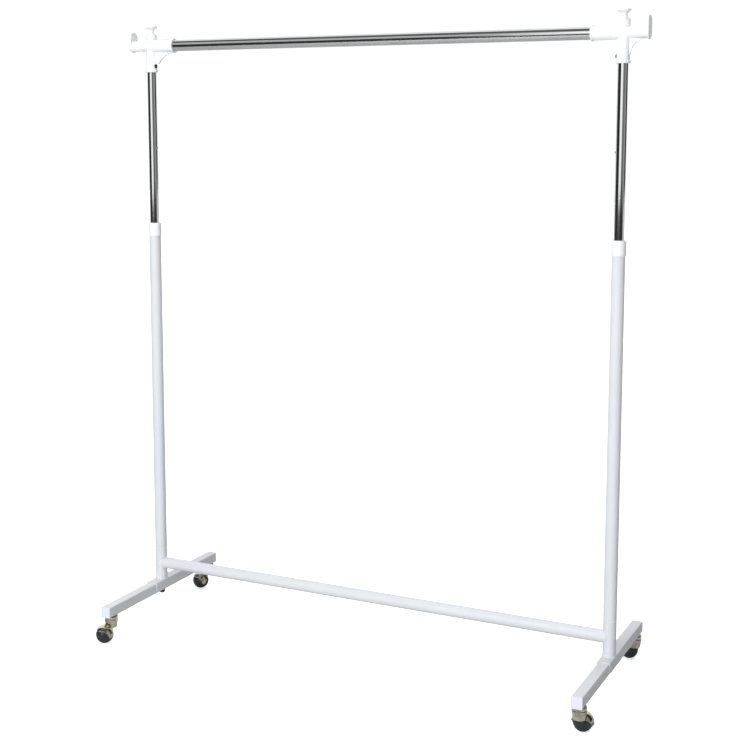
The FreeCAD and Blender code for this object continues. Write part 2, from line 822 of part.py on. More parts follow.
def build():
    for side in SIDES:
        foot_tube(side)
        for end in ENDS:
            foot_cap(side, end)
        saddle(side)
        lower_post(side)
        post_spigot(side)
        outer_post(side)
        collar(side)
        inner_post(side)
        post_glide(side)
        bracket(side)
        for level, height in button_heights().items():
            snap_button(side, level, height)
            snap_spring(side, level, height)
    foot_fixings()
    crossbar()
    top_bar()
    bracket_screws()
    for corner in TRAILS:
        caster_stem(corner)
        caster_hood(corner)
        axle(corner)
        wheel_core(corner)
        tyre(corner)
    doc.recompute()


def check():
    """Stops before anything is written if an object failed or a sub-part is not sound."""
    failed = [o.Name for o in doc.Objects if {"Invalid", "Error"} & set(o.State)]
    unsound = [o.Label for o in subparts if o.Shape.isNull() or not o.Shape.isValid()]
    if failed or unsound:
        raise RuntimeError(f"failed: {failed}; not sound: {unsound}")


def export():
    os.makedirs("parts", exist_ok=True)
    for obj in subparts:
        obj.Shape.exportStep(f"parts/{obj.Label}.step")
        box = obj.Shape.BoundBox
        print(f"{obj.Label:28s}{obj.Shape.Volume:12.0f} mm3 {len(obj.Shape.Solids)} solid(s) "
              f"z {box.ZMin:.1f} to {box.ZMax:.1f}")
    print(len(subparts), "sub-parts")


build()
check()
export()
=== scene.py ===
"""Rolling clothes rack: finishes, small made pieces and a plain studio, built around the CAD frame."""

import json
import math

import bmesh
import bpy
from bpy.props import FloatProperty, FloatVectorProperty, IntProperty, PointerProperty
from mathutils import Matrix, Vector


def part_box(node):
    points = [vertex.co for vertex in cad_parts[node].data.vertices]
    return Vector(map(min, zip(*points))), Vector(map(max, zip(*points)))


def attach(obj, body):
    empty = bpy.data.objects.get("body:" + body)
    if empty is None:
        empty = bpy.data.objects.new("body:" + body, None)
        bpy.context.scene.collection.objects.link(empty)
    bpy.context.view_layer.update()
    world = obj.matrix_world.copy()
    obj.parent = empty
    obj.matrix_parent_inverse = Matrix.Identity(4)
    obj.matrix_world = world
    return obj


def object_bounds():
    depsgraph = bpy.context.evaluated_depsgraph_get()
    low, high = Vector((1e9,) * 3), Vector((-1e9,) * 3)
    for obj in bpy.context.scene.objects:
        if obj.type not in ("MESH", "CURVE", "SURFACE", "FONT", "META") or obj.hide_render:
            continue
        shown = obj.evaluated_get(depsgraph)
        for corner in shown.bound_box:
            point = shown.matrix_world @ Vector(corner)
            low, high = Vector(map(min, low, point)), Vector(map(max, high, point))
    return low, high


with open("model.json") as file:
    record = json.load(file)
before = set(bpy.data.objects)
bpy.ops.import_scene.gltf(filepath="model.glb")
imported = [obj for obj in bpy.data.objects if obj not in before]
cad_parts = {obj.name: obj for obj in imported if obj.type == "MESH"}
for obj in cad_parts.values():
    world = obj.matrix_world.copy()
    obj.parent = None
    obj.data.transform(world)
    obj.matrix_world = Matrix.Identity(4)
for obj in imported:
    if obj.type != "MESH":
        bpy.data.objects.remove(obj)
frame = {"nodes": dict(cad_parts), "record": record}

CAD_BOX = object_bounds()

bl_info = {
    "name": "Rolling Clothes Rack",
    "version": (1, 0, 0),
    "blender": (4, 5, 0),
    "location": "View3D > Sidebar > Clothes Rack",
    "description": "Finishes and small made pieces for a height-adjustable rolling clothes rack",
    "category": "Object",
}

MM = 0.001
SIDES = {"left": -1, "right": 1}
CASTERS = [f"{side}_{end}" for side in SIDES for end in ("front", "rear")]
FOOT_CORNER = 2.5 * MM

# The caster hoods: radius of the shell's middle, where the two edges of a leg meet below the axle, how
# far each edge leans from upright, and how high the skirt between the legs hangs over the axle.
HOOD_SHELL_RADIUS = 24.8 * MM
HOOD_TIP = 5.5 * MM
HOOD_FRONT_SPREAD = math.radians(33)
HOOD_BACK_SPREAD = math.radians(43)
HOOD_SKIRT = 14.0 * MM

# Glow of the studio as reflections see it: the dark room, the backdrop behind the rack, and soft
# panels as (left, right, low, high) edges in degrees round the camera's side, and a glow.
ROOM_GLOW = 0.03
BACKDROP_GLOW = 0.9
PANELS = (
    (-46, 0, -9, 38, 1.05),
    (-82, -44, 13, 44, 0.50),
    (0, 44, -16, 40, 0.16),
    (44, 76, -20, 50, 0.30),
    (-33, -24, 30, 39, 9.0),
    (-180, 180, 52, 95, 0.10),
)
STUDIO_TINT = (0.97, 0.985, 1.0, 1.0)

# The soft boxes: name, metres beyond the rack's middle as the camera looks, to the right and up, then
# width and height. Each has its own power in RackStage.
SOFT_BOXES = (
    ("key", -2.8, -1.5, 1.0, 2.0, 1.8),
    ("fill", -2.7, 1.7, 0.8, 1.0, 1.8),
    ("top", -0.6, 0.0, 2.4, 2.4, 1.6),
    ("back", 3.2, -0.6, 0.9, 2.6, 1.8),
)
SOFT_BOX_TINT = (0.955, 0.98, 1.0)

# The floor as reflections see it: plain near the rack, dark far in front and glowing far behind.
FLOOR_NEAR = (0.50, 0.50, 0.50, 1.0)
FLOOR_FAR = (0.03, 0.03, 0.03, 1.0)
FLOOR_BACK_GLOW = 0.45


# ---------------------------------------------------------------- sizes read from the frame

def middle(node):
    low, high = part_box(node)
    return (low + high) / 2


def post_foot(side):
    """The point on a post's axis where the lower post stands on its saddle."""
    low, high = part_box(f"{side}_lower_post")
    centre = middle(f"{side}_outer_post")
    return Vector((centre.x, centre.y, low.z))


def post_radius():
    low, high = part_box("left_outer_post")
    return (high.y - low.y) / 2


def crossbar_radius():
    low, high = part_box("lower_crossbar")
    return (high.z - low.z) / 2


# ---------------------------------------------------------------- what a user may change

class RackFinish(bpy.types.PropertyGroup):
    """Colours and gloss of the rack's finishes."""

    coat_colour: FloatVectorProperty(
        name="Powder coat", description="White satin coat of the frame tubes",
        subtype="COLOR", size=4, default=(0.765, 0.78, 0.805, 1.0))
    coat_shade: FloatVectorProperty(
        name="Powder coat, thin", description="Slightly cooler coat where it is thin",
        subtype="COLOR", size=4, default=(0.72, 0.74, 0.78, 1.0))
    coat_roughness: FloatProperty(
        name="Coat roughness", description="Gloss of the powder coat", default=0.33, min=0.0, max=1.0)
    moulded_colour: FloatVectorProperty(
        name="Moulded white", description="White plastic of brackets, collars and caps",
        subtype="COLOR", size=4, default=(0.93, 0.93, 0.935, 1.0))
    moulded_roughness: FloatProperty(
        name="Moulded roughness", description="Gloss of the white plastic", default=0.30, min=0.0, max=1.0)
    cap_colour: FloatVectorProperty(
        name="Foot caps", description="Cool white plastic of the caps in the feet",
        subtype="COLOR", size=4, default=(0.84, 0.84, 0.93, 1.0))
    chrome_colour: FloatVectorProperty(
        name="Chrome", description="Chrome plate of the bar and inner posts",
        subtype="COLOR", size=4, default=(0.80, 0.80, 0.79, 1.0))
    nickel_colour: FloatVectorProperty(
        name="Nickel", description="Warm bright nickel of the caster hoods",
        subtype="COLOR", size=4, default=(0.86, 0.79, 0.63, 1.0))
    zinc_colour: FloatVectorProperty(
        name="Zinc", description="Zinc plate of stems, washers and bolts",
        subtype="COLOR", size=4, default=(0.58, 0.59, 0.60, 1.0))
    rubber_colour: FloatVectorProperty(
        name="Tyre rubber", description="Black rubber of the wheels",
        subtype="COLOR", size=4, default=(0.016, 0.022, 0.023, 1.0))
    hub_colour: FloatVectorProperty(
        name="Hub plastic", description="Dark plastic of the wheel cores",
        subtype="COLOR", size=4, default=(0.035, 0.037, 0.036, 1.0))


class RackDetail(bpy.types.PropertyGroup):
    """Sizes of the small pieces that are added to the frame."""

    weld_radius: FloatProperty(
        name="Weld bead", description="Radius of the coated weld beads",
        default=1.7 * MM, unit="LENGTH")
    weld_ripples: IntProperty(
        name="Weld ripples", description="Ripples in one turn of a weld bead", default=26, min=4)
    seam_radius: FloatProperty(
        name="Cap seam", description="Radius of the lip where a cap meets its foot tube",
        default=0.45 * MM, unit="LENGTH")
    rim_radius: FloatProperty(
        name="Hood rim", description="Radius of the rolled rim of the caster hoods",
        default=0.95 * MM, unit="LENGTH")
    joint_depth: FloatProperty(
        name="Joint ring", description="How far the ring over a post's joint stands out",
        default=0.35 * MM, unit="LENGTH")


class RackStage(bpy.types.PropertyGroup):
    """Floor, lights and camera."""

    floor_colour: FloatVectorProperty(
        name="Floor", description="Pale studio floor",
        subtype="COLOR", size=4, default=(0.90, 0.90, 0.90, 1.0))
    floor_size: FloatProperty(
        name="Floor size", description="Side of the square floor", default=40.0, unit="LENGTH")
    key_power: FloatProperty(
        name="Key", description="Power of the large soft box beside the camera, in watts", default=80.0)
    fill_power: FloatProperty(
        name="Fill", description="Power of the soft box at front right, in watts", default=9.5)
    top_power: FloatProperty(
        name="Top", description="Power of the soft box overhead, in watts", default=12.5)
    back_power: FloatProperty(
        name="Back", description="Power of the soft box behind the rack, in watts", default=34.0)
    lens: FloatProperty(
        name="Lens", description="Focal length of the camera in millimetres", default=65.99)
    camera_place: FloatVectorProperty(
        name="Camera", description="Where the camera stands", subtype="TRANSLATION", unit="LENGTH",
        default=(1.490, -3.065, 1.370))
    camera_turn: FloatProperty(
        name="Turn", description="Turn of the camera to the left of +Y", subtype="ANGLE",
        default=math.radians(25.99))
    camera_tilt: FloatProperty(
        name="Tilt", description="Tilt of the camera below level", subtype="ANGLE",
        default=math.radians(7.27))
    shift: FloatVectorProperty(
        name="Shift", description="Lens shift, as shares of the picture", size=2, default=(0.005, -0.10))


# ---------------------------------------------------------------- shader helpers

def add(tree, kind, inputs=None, **settings):
    """A new shader node with its settings and inputs: an input is a value or another node's output."""
    node = tree.nodes.new("ShaderNode" + kind)
    for name, value in settings.items():
        setattr(node, name, value)
    for key, value in (inputs or {}).items():
        if isinstance(value, bpy.types.NodeSocket):
            tree.links.new(value, node.inputs[key])
        else:
            node.inputs[key].default_value = value
    return node


def maths(tree, operation, first, second=0.5, third=None):
    inputs = {0: first, 1: second}
    if third is not None:
        inputs[2] = third
    return add(tree, "Math", inputs, operation=operation).outputs[0]


def remap(tree, value, low, high, to_low=0.0, to_high=1.0):
    settings = {"Value": value, "From Min": low, "From Max": high, "To Min": to_low, "To Max": to_high}
    return add(tree, "MapRange", settings, interpolation_type="SMOOTHSTEP").outputs["Result"]


def band(tree, value, low, high, soft):
    """One between low and high, zero outside, with soft edges."""
    rise = remap(tree, value, low - soft, low + soft)
    fall = remap(tree, value, high - soft, high + soft, 1.0, 0.0)
    return maths(tree, "MULTIPLY", rise, fall)


def new_group(name, inputs, outputs):
    """An empty node group with named sockets; returns the group, its input node and its output node."""
    group = bpy.data.node_groups.new(name, "ShaderNodeTree")
    for label, kind, value in inputs:
        socket = group.interface.new_socket(label, in_out="INPUT", socket_type="NodeSocket" + kind)
        socket.default_value = value
    for label, kind in outputs:
        group.interface.new_socket(label, in_out="OUTPUT", socket_type="NodeSocket" + kind)
    return group, group.nodes.new("NodeGroupInput"), group.nodes.new("NodeGroupOutput")


def use_group(tree, name, **inputs):
    """One of the shared effects, placed in a material with its own values."""
    node = tree.nodes.new("ShaderNodeGroup")
    node.node_tree = bpy.data.node_groups[name]
    for label, value in inputs.items():
        key = label.replace("_", " ").title()
        if isinstance(value, bpy.types.NodeSocket):
            tree.links.new(value, node.inputs[key])
        else:
            node.inputs[key].default_value = value
    return node


# ---------------------------------------------------------------- shared effects

def make_skin_group():
    """Fine relief of a sprayed or moulded skin, with a gloss that drifts over the surface."""
    group, given, result = new_group(
        "Skin Relief",
        [("Grain", "Float", 900.0), ("Drift", "Float", 12.0), ("Gloss", "Float", 0.3),
         ("Gloss Swing", "Float", 0.08)],
        [("Height", "Float"), ("Roughness", "Float")])
    place = add(group, "TexCoord").outputs["Object"]
    grain = given.outputs["Grain"]
    fine = add(group, "TexNoise", {"Vector": place, "Scale": grain, "Detail": 2.0, "Roughness": 0.45})
    coarse_scale = maths(group, "MULTIPLY", grain, 0.22)
    coarse = add(group, "TexNoise", {"Vector": place, "Scale": coarse_scale, "Detail": 1.0})
    height = maths(group, "MULTIPLY_ADD", coarse.outputs["Fac"], 0.65, fine.outputs["Fac"])
    group.links.new(height, result.inputs["Height"])
    slow = add(group, "TexNoise", {"Vector": place, "Scale": given.outputs["Drift"], "Detail": 3.0})
    swing = maths(group, "SUBTRACT", slow.outputs["Fac"], 0.5)
    rough = maths(group, "MULTIPLY_ADD", swing, given.outputs["Gloss Swing"], given.outputs["Gloss"])
    group.links.new(rough, result.inputs["Roughness"])


def make_drift_group():
    """Two close colours that drift into each other over a hand's width."""
    group, given, result = new_group(
        "Colour Drift",
        [("First", "Color", (0.8, 0.8, 0.8, 1)), ("Second", "Color", (0.7, 0.7, 0.7, 1)),
         ("Size", "Float", 7.0), ("Share", "Float", 0.6)],
        [("Color", "Color")])
    place = add(group, "TexCoord").outputs["Object"]
    cloud = add(group, "TexNoise", {"Vector": place, "Scale": given.outputs["Size"], "Detail": 4.0})
    mask = remap(group, cloud.outputs["Fac"], 0.35, 0.7)
    share = maths(group, "MULTIPLY", mask, given.outputs["Share"])
    mix = add(group, "Mix", {"Factor": share}, data_type="RGBA")
    group.links.new(given.outputs["First"], mix.inputs["A"])
    group.links.new(given.outputs["Second"], mix.inputs["B"])
    group.links.new(mix.outputs["Result"], result.inputs["Color"])


def make_scratch_group():
    """Hairline marks that run along one direction, as a mask."""
    group, given, result = new_group(
        "Hairlines",
        [("Stretch", "Vector", (900.0, 900.0, 12.0)), ("Amount", "Float", 0.3)],
        [("Mask", "Float")])
    place = add(group, "TexCoord").outputs["Object"]
    pulled = add(group, "VectorMath", {0: place, 1: given.outputs["Stretch"]}, operation="MULTIPLY")
    lines = add(group, "TexNoise", {"Vector": pulled.outputs[0], "Scale": 1.0, "Detail": 2.0})
    patches = add(group, "TexNoise", {"Vector": place, "Scale": 21.0, "Detail": 2.0})
    sharp = remap(group, lines.outputs["Fac"], 0.62, 0.72)
    where = remap(group, patches.outputs["Fac"], 0.42, 0.62)
    both = maths(group, "MULTIPLY", sharp, where)
    group.links.new(maths(group, "MULTIPLY", both, given.outputs["Amount"]), result.inputs["Mask"])


def make_dust_group():
    """Dust that settles on faces that look up, thicker near the floor."""
    group, given, result = new_group(
        "Settled Dust",
        [("Reach", "Float", 0.12), ("Amount", "Float", 0.3)],
        [("Mask", "Float")])
    place = add(group, "TexCoord").outputs["Object"]
    height = add(group, "SeparateXYZ", {0: place}).outputs["Z"]
    facing = add(group, "SeparateXYZ", {0: add(group, "NewGeometry").outputs["Normal"]}).outputs["Z"]
    low = maths(group, "DIVIDE", height, given.outputs["Reach"])
    near_floor = remap(group, low, 0.2, 1.0, 1.0, 0.0)
    up = remap(group, facing, 0.1, 0.9, 0.15, 1.0)
    speckle = add(group, "TexNoise", {"Vector": place, "Scale": 240.0, "Detail": 5.0, "Roughness": 0.7})
    grains = remap(group, speckle.outputs["Fac"], 0.45, 0.7)
    mask = maths(group, "MULTIPLY", maths(group, "MULTIPLY", near_floor, up), grains)
    group.links.new(maths(group, "MULTIPLY", mask, given.outputs["Amount"]), result.inputs["Mask"])


# ---------------------------------------------------------------- materials

def new_material(name):
    material = bpy.data.materials.new(name)
    material.use_nodes = True
    tree = material.node_tree
    tree.nodes.clear()
    shader = tree.nodes.new("ShaderNodeBsdfPrincipled")
    output = tree.nodes.new("ShaderNodeOutputMaterial")
    tree.links.new(shader.outputs[0], output.inputs["Surface"])
    return material, tree, shader


def relief(tree, shader, height, depth):
    """Feeds a height to the shader's normal; depth is in metres."""
    bump = add(tree, "Bump", {"Height": height, "Distance": depth, "Strength": 1.0})
    tree.links.new(bump.outputs["Normal"], shader.inputs["Normal"])


def over(tree, mask, below, above):
    """A colour laid over another where the mask is white."""
    mix = add(tree, "Mix", {"Factor": mask, "B": above}, data_type="RGBA")
    tree.links.new(below, mix.inputs["A"])
    return mix.outputs["Result"]


def powder_coat(finish):
    """Satin white coat on the steel tubes: light orange peel, cooler where thin, dusty low down."""
    material, tree, shader = new_material("white_powder_coat")
    colour = use_group(tree, "Colour Drift", first=finish.coat_colour, second=finish.coat_shade, size=5.0,
                       share=0.55).outputs["Color"]
    dust = use_group(tree, "Settled Dust", reach=0.11, amount=0.35).outputs["Mask"]
    dusted = over(tree, dust, colour, (0.55, 0.54, 0.52, 1.0))
    tree.links.new(dusted, shader.inputs["Base Color"])
    skin = use_group(tree, "Skin Relief", grain=780.0, drift=9.0, gloss=finish.coat_roughness,
                     gloss_swing=0.14)
    rough = maths(tree, "MULTIPLY_ADD", dust, 0.35, skin.outputs["Roughness"])
    tree.links.new(rough, shader.inputs["Roughness"])
    relief(tree, shader, skin.outputs["Height"], 0.03 * MM)
    shader.inputs["Coat Weight"].default_value = 0.25
    shader.inputs["Coat Roughness"].default_value = 0.18
    return material


def moulded_white(finish, name, first, second):
    """Injection-moulded white plastic with a fine tool texture and a faint depth to it."""
    material, tree, shader = new_material(name)
    colour = use_group(tree, "Colour Drift", first=first, second=second, size=16.0,
                       share=0.5).outputs["Color"]
    tree.links.new(colour, shader.inputs["Base Color"])
    skin = use_group(tree, "Skin Relief", grain=1500.0, drift=30.0, gloss=finish.moulded_roughness,
                     gloss_swing=0.12)
    tree.links.new(skin.outputs["Roughness"], shader.inputs["Roughness"])
    relief(tree, shader, skin.outputs["Height"], 0.012 * MM)
    shader.inputs["Subsurface Weight"].default_value = 0.08
    shader.inputs["Subsurface Scale"].default_value = 2.0 * MM
    return material


def polished_chrome(finish, name, stretch):
    """Bright chrome plate with hairlines left by polishing and by sliding, along the tube."""
    material, tree, shader = new_material(name)
    smear = use_group(tree, "Colour Drift", first=finish.chrome_colour, second=(0.72, 0.72, 0.72, 1.0),
                      size=9.0, share=0.5).outputs["Color"]
    tree.links.new(smear, shader.inputs["Base Color"])
    shader.inputs["Metallic"].default_value = 1.0
    skin = use_group(tree, "Skin Relief", grain=260.0, drift=14.0, gloss=0.07, gloss_swing=0.07)
    lines = use_group(tree, "Hairlines", stretch=stretch, amount=0.22).outputs["Mask"]
    rough = maths(tree, "ADD", skin.outputs["Roughness"], lines)
    tree.links.new(rough, shader.inputs["Roughness"])
    relief(tree, shader, skin.outputs["Height"], 0.004 * MM)
    return material


def bright_nickel(finish):
    """Warm nickel on the pressed caster hoods, dulled by settled dust low down, with painted dark
    reflections mottled into its colour.
    """
    material, tree, shader = new_material("nickel_plate")
    # The dark second colour is a painted reflection: mottled dark patches that stand in for the dark room
    # mirrored in the polished hood.
    colour = use_group(tree, "Colour Drift", first=finish.nickel_colour, second=(0.34, 0.29, 0.20, 1.0),
                       size=70.0, share=0.6).outputs["Color"]
    dust = use_group(tree, "Settled Dust", reach=0.06, amount=0.12).outputs["Mask"]
    tree.links.new(over(tree, dust, colour, (0.42, 0.40, 0.36, 1.0)), shader.inputs["Base Color"])
    tree.links.new(maths(tree, "SUBTRACT", 1.0, dust), shader.inputs["Metallic"])
    skin = use_group(tree, "Skin Relief", grain=420.0, drift=60.0, gloss=0.06, gloss_swing=0.06)
    tree.links.new(skin.outputs["Roughness"], shader.inputs["Roughness"])
    relief(tree, shader, skin.outputs["Height"], 0.012 * MM)
    return material


def plain_metal(name, colour, second, roughness, grain):
    """Zinc, black oxide or bare spring steel: mottled metal with a dull sheen."""
    material, tree, shader = new_material(name)
    drift = use_group(tree, "Colour Drift", first=colour, second=second, size=110.0, share=0.7)
    tree.links.new(drift.outputs["Color"], shader.inputs["Base Color"])
    shader.inputs["Metallic"].default_value = 1.0
    skin = use_group(tree, "Skin Relief", grain=grain, drift=80.0, gloss=roughness, gloss_swing=0.2)
    tree.links.new(skin.outputs["Roughness"], shader.inputs["Roughness"])
    relief(tree, shader, skin.outputs["Height"], 0.02 * MM)
    return material


def hub_plastic(finish):
    material, tree, shader = new_material("grey_plastic")
    drift = use_group(tree, "Colour Drift", first=finish.hub_colour, second=(0.06, 0.06, 0.06, 1.0),
                      size=60.0, share=0.5)
    tree.links.new(drift.outputs["Color"], shader.inputs["Base Color"])
    skin = use_group(tree, "Skin Relief", grain=1300.0, drift=40.0, gloss=0.42, gloss_swing=0.15)
    tree.links.new(skin.outputs["Roughness"], shader.inputs["Roughness"])
    relief(tree, shader, skin.outputs["Height"], 0.02 * MM)
    return material


def tyre_rubber(finish):
    """Black rubber, slightly shiny when new, with grey dust rubbed into it."""
    material, tree, shader = new_material("black_rubber")
    colour = use_group(tree, "Colour Drift", first=finish.rubber_colour, second=(0.028, 0.037, 0.038, 1.0),
                       size=45.0, share=0.8).outputs["Color"]
    lines = use_group(tree, "Hairlines", stretch=(420.0, 420.0, 420.0), amount=0.5).outputs["Mask"]
    tree.links.new(over(tree, lines, colour, (0.10, 0.10, 0.095, 1.0)), shader.inputs["Base Color"])
    skin = use_group(tree, "Skin Relief", grain=1100.0, drift=50.0, gloss=0.17, gloss_swing=0.12)
    rough = maths(tree, "MULTIPLY_ADD", lines, 0.4, skin.outputs["Roughness"])
    tree.links.new(rough, shader.inputs["Roughness"])
    relief(tree, shader, skin.outputs["Height"], 0.03 * MM)
    shader.inputs["Sheen Weight"].default_value = 0.04
    return material


def floor_paint(stage):
    """Pale studio floor, near white to the eye and pure white far off; reflections see it unevenly lit."""
    material, tree, shader = new_material("studio_floor")
    cloud = use_group(tree, "Colour Drift", first=stage.floor_colour, second=(0.885, 0.885, 0.89, 1.0),
                      size=0.7, share=0.5).outputs["Color"]
    camera_ray = add(tree, "LightPath").outputs["Is Camera Ray"]
    place = add(tree, "TexCoord").outputs["Object"]
    away = add(tree, "VectorMath", {0: place}, operation="LENGTH").outputs["Value"]
    depth = add(tree, "SeparateXYZ", {0: place}).outputs["Y"]
    in_front = remap(tree, depth, -2.0, -0.5, 1.0, 0.0)
    dark = maths(tree, "MULTIPLY", remap(tree, away, 2.7, 4.2), in_front)
    felt = add(tree, "Mix", {"Factor": dark, "A": FLOOR_NEAR, "B": FLOOR_FAR},
               data_type="RGBA").outputs["Result"]
    dimmed = add(tree, "Mix", {"Factor": camera_ray}, data_type="RGBA")
    tree.links.new(felt, dimmed.inputs["A"])
    tree.links.new(cloud, dimmed.inputs["B"])
    tree.links.new(dimmed.outputs["Result"], shader.inputs["Base Color"])
    shader.inputs["Roughness"].default_value = 0.75
    shader.inputs["Specular IOR Level"].default_value = 0.2
    shader.inputs["Emission Color"].default_value = (1.0, 1.0, 1.0, 1.0)
    seen = remap(tree, away, 1.5, 6.0, 0.62, 1.1)
    behind = remap(tree, depth, 1.2, 3.0, 0.0, FLOOR_BACK_GLOW)
    glow = add(tree, "Mix", {"Factor": camera_ray, "A": behind, "B": seen}).outputs["Result"]
    tree.links.new(glow, shader.inputs["Emission Strength"])
    return material


# ---------------------------------------------------------------- mesh helpers

def mesh_piece(name, bm, material, body):
    """Turns a bmesh into a smooth object that rides on a CAD body."""
    mesh = bpy.data.meshes.new(name)
    bmesh.ops.recalc_face_normals(bm, faces=bm.faces)
    bm.to_mesh(mesh)
    bm.free()
    for polygon in mesh.polygons:
        polygon.use_smooth = True
    piece = bpy.data.objects.new(name, mesh)
    bpy.context.scene.collection.objects.link(piece)
    piece.data.materials.append(bpy.data.materials[material])
    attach(piece, body)
    return piece


def bead(bm, path, radius, ripples=0, swell=0.0, sides=10, closed=True):
    """A tube along a path, rippled like a weld if asked; an open one is closed by a face at each end."""
    count = len(path)
    rings = []
    for i, point in enumerate(path):
        if closed:
            ahead = (path[(i + 1) % count] - path[i - 1]).normalized()
        else:
            ahead = (path[min(i + 1, count - 1)] - path[max(i - 1, 0)]).normalized()
        side = ahead.cross(Vector((0, 0, 1)))
        if side.length < 0.2:
            side = ahead.cross(Vector((0, 1, 0)))
        side.normalize()
        up = side.cross(ahead)
        wave = abs(math.sin(math.pi * ripples * i / count))
        here = radius * (1.0 - swell + swell * wave)
        ring = []
        for j in range(sides):
            a = 2 * math.pi * j / sides
            ring.append(bm.verts.new(point + side * (here * math.cos(a)) + up * (here * math.sin(a))))
        rings.append(ring)
    for i in range(count if closed else count - 1):
        first, second = rings[i], rings[(i + 1) % count]
        for j in range(sides):
            k = (j + 1) % sides
            bm.faces.new((first[j], first[k], second[k], second[j]))
    if not closed:
        bm.faces.new(rings[0])
        bm.faces.new(rings[-1])


def turned(bm, profile, steps, centre):
    """A ring turned about the upright through centre: profile is a closed list of (radius, height)."""
    rings = []
    for i in range(steps):
        a = 2 * math.pi * i / steps
        out = Vector((math.cos(a), math.sin(a), 0))
        rings.append([bm.verts.new(centre + radius * out + Vector((0, 0, height)))
                      for radius, height in profile])
    count = len(profile)
    for i in range(steps):
        first, second = rings[i], rings[(i + 1) % steps]
        for j in range(count):
            k = (j + 1) % count
            bm.faces.new((first[j], second[j], second[k], first[k]))


def hood_edge(spread):
    """Points (out, along, up) from the wheel's centre on one edge of a hood, from leg to leg."""
    shell = HOOD_SHELL_RADIUS
    first = 2 * HOOD_TIP * math.cos(spread)
    last = (HOOD_SKIRT + HOOD_TIP) / math.cos(spread)
    leg = []
    for step in range(17):
        length = first + (last - first) * step / 16
        out = length * math.sin(spread)
        up = length * math.cos(spread) - HOOD_TIP
        leg.append((out, math.sqrt(shell * shell - out * out - up * up), up))
    out, across, up = leg[-1]
    ring = math.hypot(out, across)
    opening = math.atan2(across, out)
    skirt = []
    for step in range(1, 32):
        a = opening * (1 - step / 16)
        skirt.append((ring * math.cos(a), ring * math.sin(a), up))
    return leg + skirt + [(out, -across, up) for out, across, up in reversed(leg)]


# ---------------------------------------------------------------- operators

class MakeFinishes(bpy.types.Operator):
    """Build the shared effects and every material, and put them on the CAD pieces"""

    bl_idname = "clothes_rack.make_finishes"
    bl_label = "Finishes"

    def execute(self, context):
        finish = context.scene.rack_finish
        make_skin_group()
        make_drift_group()
        make_scratch_group()
        make_dust_group()
        materials = {
            "white_powder_coat": powder_coat(finish),
            "white_plastic": moulded_white(finish, "white_plastic", finish.moulded_colour,
                                           (0.90, 0.905, 0.93, 1.0)),
            "chrome_plate": polished_chrome(finish, "chrome_plate", (1400.0, 1400.0, 9.0)),
            "nickel_plate": bright_nickel(finish),
            "zinc_steel": plain_metal("zinc_steel", finish.zinc_colour, (0.42, 0.42, 0.40, 1.0),
                                      0.32, 900.0),
            "black_steel": plain_metal("black_steel", (0.05, 0.05, 0.05, 1.0), (0.09, 0.085, 0.08, 1.0),
                                       0.35, 700.0),
            "spring_steel": plain_metal("spring_steel", (0.42, 0.42, 0.43, 1.0), (0.3, 0.3, 0.32, 1.0),
                                        0.25, 800.0),
            "button_steel": plain_metal("button_steel", (0.72, 0.72, 0.72, 1.0), (0.6, 0.6, 0.6, 1.0),
                                        0.12, 500.0),
            "grey_plastic": hub_plastic(finish),
            "black_rubber": tyre_rubber(finish),
        }
        bar_chrome = polished_chrome(finish, "bar_chrome", (9.0, 1400.0, 1400.0))
        cap_white = moulded_white(finish, "cap_white", finish.cap_colour, (0.80, 0.81, 0.90, 1.0))
        slots = {row["node"]: row["material_slot"] for row in frame["record"]["subparts"]}
        for node, piece in frame["nodes"].items():
            material = materials[slots[node]]
            if node == "top_bar":
                material = bar_chrome
            elif node.endswith("foot_cap"):
                material = cap_white
            piece.data.materials.clear()
            piece.data.materials.append(material)
        return {"FINISHED"}


class MakeWelds(bpy.types.Operator):
    """Lay coated weld beads round each post's foot and round each end of the crossbar"""

    bl_idname = "clothes_rack.make_welds"
    bl_label = "Weld beads"

    def execute(self, context):
        detail = context.scene.rack_detail
        steps = 6 * detail.weld_ripples
        post, bar = post_radius(), crossbar_radius()
        bar_height = middle("lower_crossbar").z
        for side, way in SIDES.items():
            foot = post_foot(side)
            bm = bmesh.new()
            circle = []
            cope = []
            for i in range(steps):
                a = 2 * math.pi * i / steps
                circle.append(foot + Vector((post * math.cos(a), post * math.sin(a), 0)))
                across = bar * math.cos(a)
                inward = math.sqrt(post * post - across * across)
                cope.append(Vector((foot.x - way * inward, across, bar_height + bar * math.sin(a))))
            bead(bm, circle, detail.weld_radius, detail.weld_ripples, 0.18)
            bead(bm, cope, detail.weld_radius, detail.weld_ripples, 0.18)
            mesh_piece(f"{side}_weld_beads", bm, "white_powder_coat", "base")
        return {"FINISHED"}


class MakeJointRings(bpy.types.Operator):
    """Fit the thin ring that shows where each outer post stands on its lower post"""

    bl_idname = "clothes_rack.make_joint_rings"
    bl_label = "Joint rings"

    def execute(self, context):
        detail = context.scene.rack_detail
        post = post_radius()
        for side in SIDES:
            low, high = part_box(f"{side}_outer_post")
            centre = Vector(((low.x + high.x) / 2, (low.y + high.y) / 2, low.z))
            out = detail.joint_depth
            profile = [(post - 1.0 * MM, -0.9 * MM), (post + 0.6 * out, -0.9 * MM), (post + out, -0.5 * MM),
                       (post + out, -0.2 * MM), (post - 0.25 * MM, 0.0), (post + out, 0.2 * MM),
                       (post + out, 0.5 * MM), (post + 0.6 * out, 0.9 * MM), (post - 1.0 * MM, 0.9 * MM)]
            bm = bmesh.new()
            turned(bm, profile, 96, centre)
            mesh_piece(f"{side}_joint_ring", bm, "white_powder_coat", "base")
        return {"FINISHED"}


